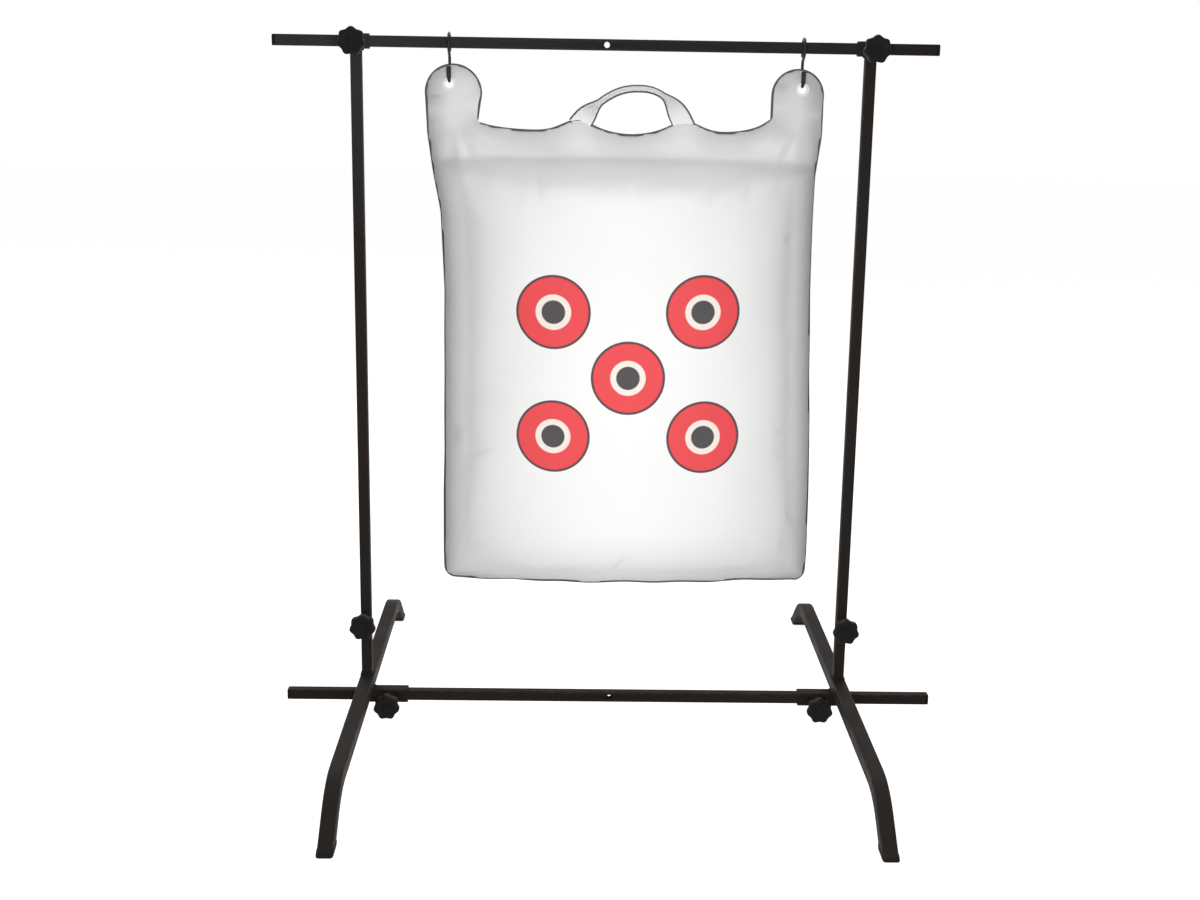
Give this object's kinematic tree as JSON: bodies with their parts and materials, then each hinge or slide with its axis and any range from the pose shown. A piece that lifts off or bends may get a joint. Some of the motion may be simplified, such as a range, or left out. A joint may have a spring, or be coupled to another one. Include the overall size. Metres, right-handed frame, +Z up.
{
  "type": "archery target stand",
  "caption": "Free-standing square-tube target stand: bent feet, plug-in uprights, sliding top and bottom bars clamped by hand knobs, and a stuffed bag target hung on S-hooks.",
  "frame": {"origin": "on the floor under the middle of the bottom bar and midway between the front and rear foot pads", "axes": "+Z up, +X to the archer's right along the bars, +Y away from the archer"},
  "size_m": [1.185, 1.1218, 1.2365],
  "materials": {
    "frame_paint": "satin black powder coat",
    "dark_zinc": "dark zinc plating",
    "hook_wire": "satin black",
    "black_plastic": "fine matte moulding",
    "bag_cloth": "white coated weave with printed bullseyes",
    "bag_webbing": "woven webbing",
    "eyelet_plastic": "smooth moulding"
  },
  "bodies": {
    "bottom_bar": {"bottom_bar": "frame_paint", "bottom_bar_cap_left": "black_plastic", "bottom_bar_cap_right": "black_plastic"},
    "left_base": {"foot_left": "frame_paint", "foot_pad_front_left": "black_plastic", "foot_pad_rear_left": "black_plastic", "base_sleeve_left": "frame_paint", "post_left": "frame_paint", "weld_nut_base_left": "frame_paint", "weld_nut_post_left": "frame_paint"},
    "right_base": {"foot_right": "frame_paint", "foot_pad_front_right": "black_plastic", "foot_pad_rear_right": "black_plastic", "base_sleeve_right": "frame_paint", "post_right": "frame_paint", "weld_nut_base_right": "frame_paint", "weld_nut_post_right": "frame_paint"},
    "left_upright": {"upright_left": "frame_paint", "spigot_left": "frame_paint", "top_sleeve_left": "frame_paint", "weld_nut_top_left": "frame_paint"},
    "right_upright": {"upright_right": "frame_paint", "spigot_right": "frame_paint", "top_sleeve_right": "frame_paint", "weld_nut_top_right": "frame_paint"},
    "top_bar": {"top_bar": "frame_paint", "top_bar_cap_left": "black_plastic", "top_bar_cap_right": "black_plastic"},
    "base_knob_left": {"knob_stud_base_left": "dark_zinc", "knob_grip_base_left": "black_plastic"},
    "base_knob_right": {"knob_stud_base_right": "dark_zinc", "knob_grip_base_right": "black_plastic"},
    "post_knob_left": {"knob_stud_post_left": "dark_zinc", "knob_grip_post_left": "black_plastic"},
    "post_knob_right": {"knob_stud_post_right": "dark_zinc", "knob_grip_post_right": "black_plastic"},
    "top_knob_left": {"knob_stud_top_left": "dark_zinc", "knob_grip_top_left": "black_plastic"},
    "top_knob_right": {"knob_stud_top_right": "dark_zinc", "knob_grip_top_right": "black_plastic"},
    "hook_left": {"s_hook_left": "hook_wire"},
    "hook_right": {"s_hook_right": "hook_wire"},
    "target": {"target_bag": "bag_cloth", "bag_handle": "bag_webbing", "eyelet_left": "eyelet_plastic", "eyelet_right": "eyelet_plastic"}
  },
  "joints": [
    {"name": "left_base_slide", "type": "slide", "parent": "bottom_bar", "child": "left_base", "axis": [1, 0, 0], "range_m": [-0.105, 0.09]},
    {"name": "right_base_slide", "type": "slide", "parent": "bottom_bar", "child": "right_base", "axis": [1, 0, 0], "range_m": [-0.06, 0.09]},
    {"name": "left_height_slide", "type": "slide", "parent": "left_base", "child": "left_upright", "axis": [0, 0, 1], "range_m": [0, 0.08]},
    {"name": "right_height_slide", "type": "slide", "parent": "right_base", "child": "right_upright", "axis": [0, 0, 1], "range_m": [0, 0.08]},
    {"name": "top_bar_slide", "type": "slide", "parent": "left_upright", "child": "top_bar", "axis": [1, 0, 0], "range_m": [-0.09, 0.105]},
    {"name": "left_base_knob_turn", "type": "hinge", "parent": "left_base", "child": "base_knob_left", "pos_m": [-0.4045, -0.06, 0.0433], "axis": [0, -1, 0], "range_deg": [0, 720]},
    {"name": "right_base_knob_turn", "type": "hinge", "parent": "right_base", "child": "base_knob_right", "pos_m": [0.3825, -0.06, 0.0433], "axis": [0, -1, 0], "range_deg": [0, 720]},
    {"name": "left_post_knob_turn", "type": "hinge", "parent": "left_base", "child": "post_knob_left", "pos_m": [-0.4455, -0.06, 0.194], "axis": [0, -1, 0], "range_deg": [0, 720]},
    {"name": "right_post_knob_turn", "type": "hinge", "parent": "right_base", "child": "post_knob_right", "pos_m": [0.4235, -0.06, 0.194], "axis": [0, -1, 0], "range_deg": [0, 720]},
    {"name": "left_top_knob_turn", "type": "hinge", "parent": "left_upright", "child": "top_knob_left", "pos_m": [-0.4455, -0.06, 1.214], "axis": [0, -1, 0], "range_deg": [0, 720]},
    {"name": "right_top_knob_turn", "type": "hinge", "parent": "right_upright", "child": "top_knob_right", "pos_m": [0.4235, -0.06, 1.214], "axis": [0, -1, 0], "range_deg": [0, 720]},
    {"name": "left_hook_swing", "type": "hinge", "parent": "top_bar", "child": "hook_left", "pos_m": [-0.289, 0, 1.214], "axis": [1, 0, 0], "range_deg": [-30, 30]},
    {"name": "right_hook_swing", "type": "hinge", "parent": "top_bar", "child": "hook_right", "pos_m": [0.31, 0, 1.214], "axis": [1, 0, 0], "range_deg": [-30, 30]},
    {"name": "target_swing", "type": "hinge", "parent": "hook_left", "child": "target", "pos_m": [-0.289, 0, 1.15997], "axis": [1, 0, 0], "range_deg": [-15, 15]}
  ],
  "couplings": [
    {"joint": "right_height_slide", "follows": "left_height_slide", "ratio": 1},
    {"joint": "top_bar_slide", "follows": "left_base_slide", "ratio": -1},
    {"joint": "right_hook_swing", "follows": "left_hook_swing", "ratio": 1}
  ]
}
